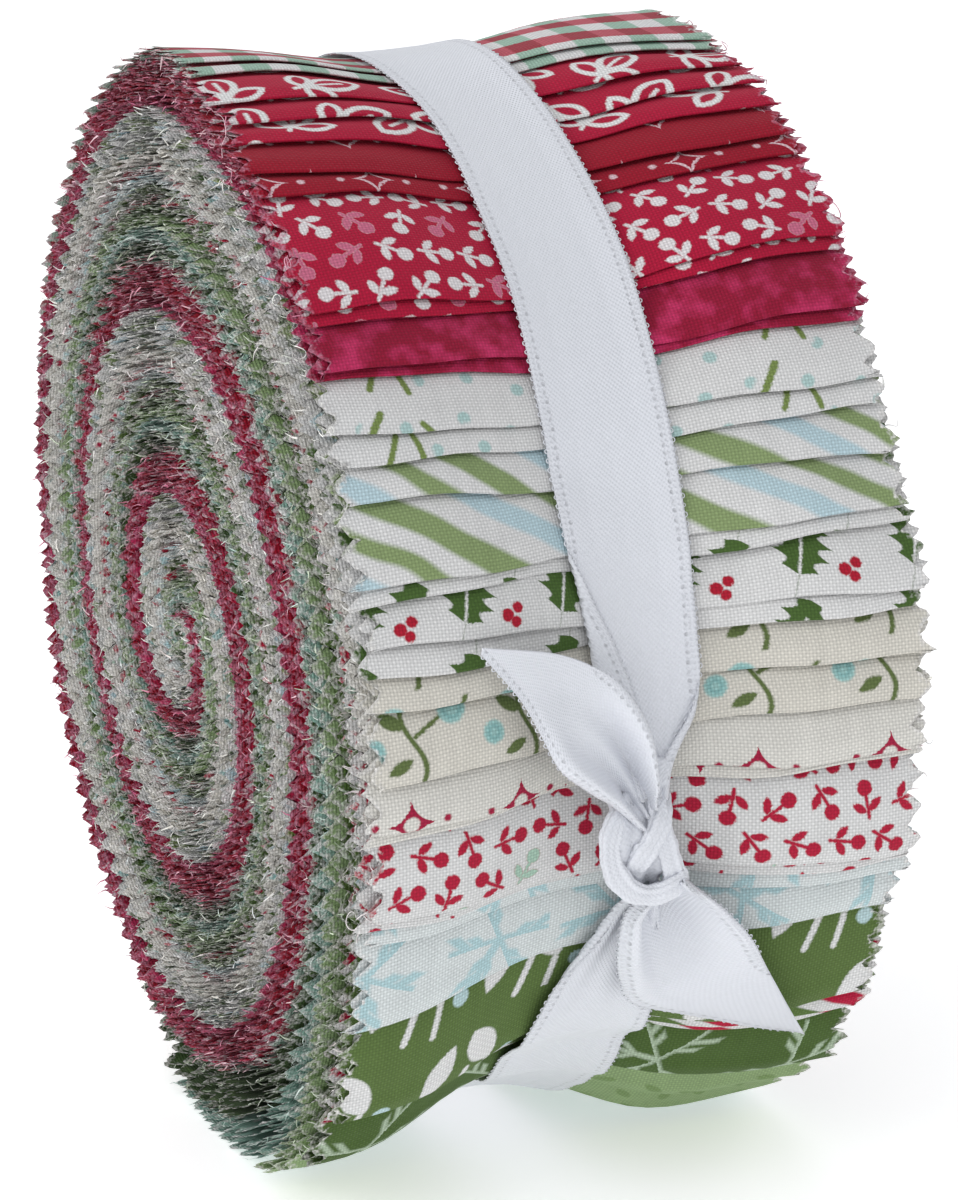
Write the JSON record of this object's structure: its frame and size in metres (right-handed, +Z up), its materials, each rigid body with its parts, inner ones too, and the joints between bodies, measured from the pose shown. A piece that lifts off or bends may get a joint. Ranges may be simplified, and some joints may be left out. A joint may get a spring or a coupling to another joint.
{
  "type": "roll of quilting fabric strips",
  "caption": "Roll of folded cotton quilting strips with pinked edges, standing on its rim and tied round the middle with a knotted satin ribbon.",
  "frame": {"origin": "on the surface it stands on, under the middle of the whole part's box", "axes": "+X along the roll's axis, +Y to the back, away from the strips' stepped ends and the knot, +Z up"},
  "size_m": [0.0636, 0.1264, 0.1268],
  "materials": {
    "cotton": "printed plain-weave quilting cotton with pinked, frayed edges",
    "satin": "white single-face satin ribbon with corded edges"
  },
  "bodies": {
    "root": {"strip_roll": "cotton", "ribbon_tie": "satin"}
  },
  "joints": []
}
